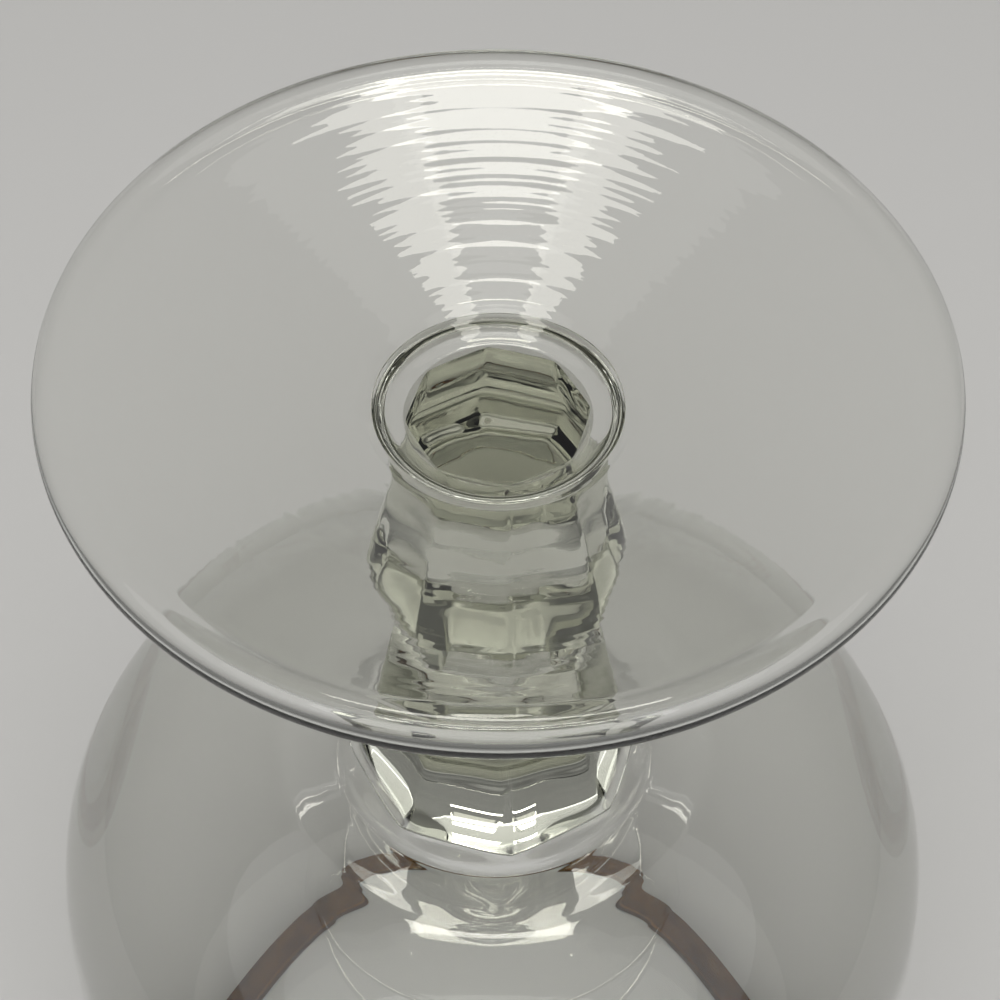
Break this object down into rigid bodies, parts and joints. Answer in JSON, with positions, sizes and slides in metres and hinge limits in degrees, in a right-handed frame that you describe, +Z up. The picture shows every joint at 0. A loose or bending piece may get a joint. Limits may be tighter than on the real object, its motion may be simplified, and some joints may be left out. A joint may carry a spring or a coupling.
{
  "type": "goblet",
  "caption": "Clear glass goblet with a round shouldered bowl, gilded rim, panelled baluster stem, collar and hollow conical foot, stored upside down on its rim.",
  "frame": {"origin": "centre of the circle that the rim of the bowl stands on, the goblet being stored upside down as pictured", "axes": "+Z up the goblet's axis, from the rim to the foot; -Y towards the camera of the picture; turn 180 degrees about X or Y to stand it on its foot"},
  "size_m": [0.0954, 0.0954, 0.149],
  "materials": {
    "foot_glass": "fire-polished clear soda-lime glass with faint concentric ripples, green at the edge",
    "collar_glass": "fire-polished clear soda-lime glass",
    "stem_glass": "pressed clear soda-lime glass, slightly grey-green through its thickness",
    "bowl_glass": "thin blown clear soda-lime glass",
    "rim_gold": "fired gold band, brown and slightly worn"
  },
  "bodies": {
    "root": {"foot": "foot_glass", "stem_collar": "collar_glass", "stem": "stem_glass", "bowl": "bowl_glass", "rim_gilding": "rim_gold"}
  },
  "joints": []
}
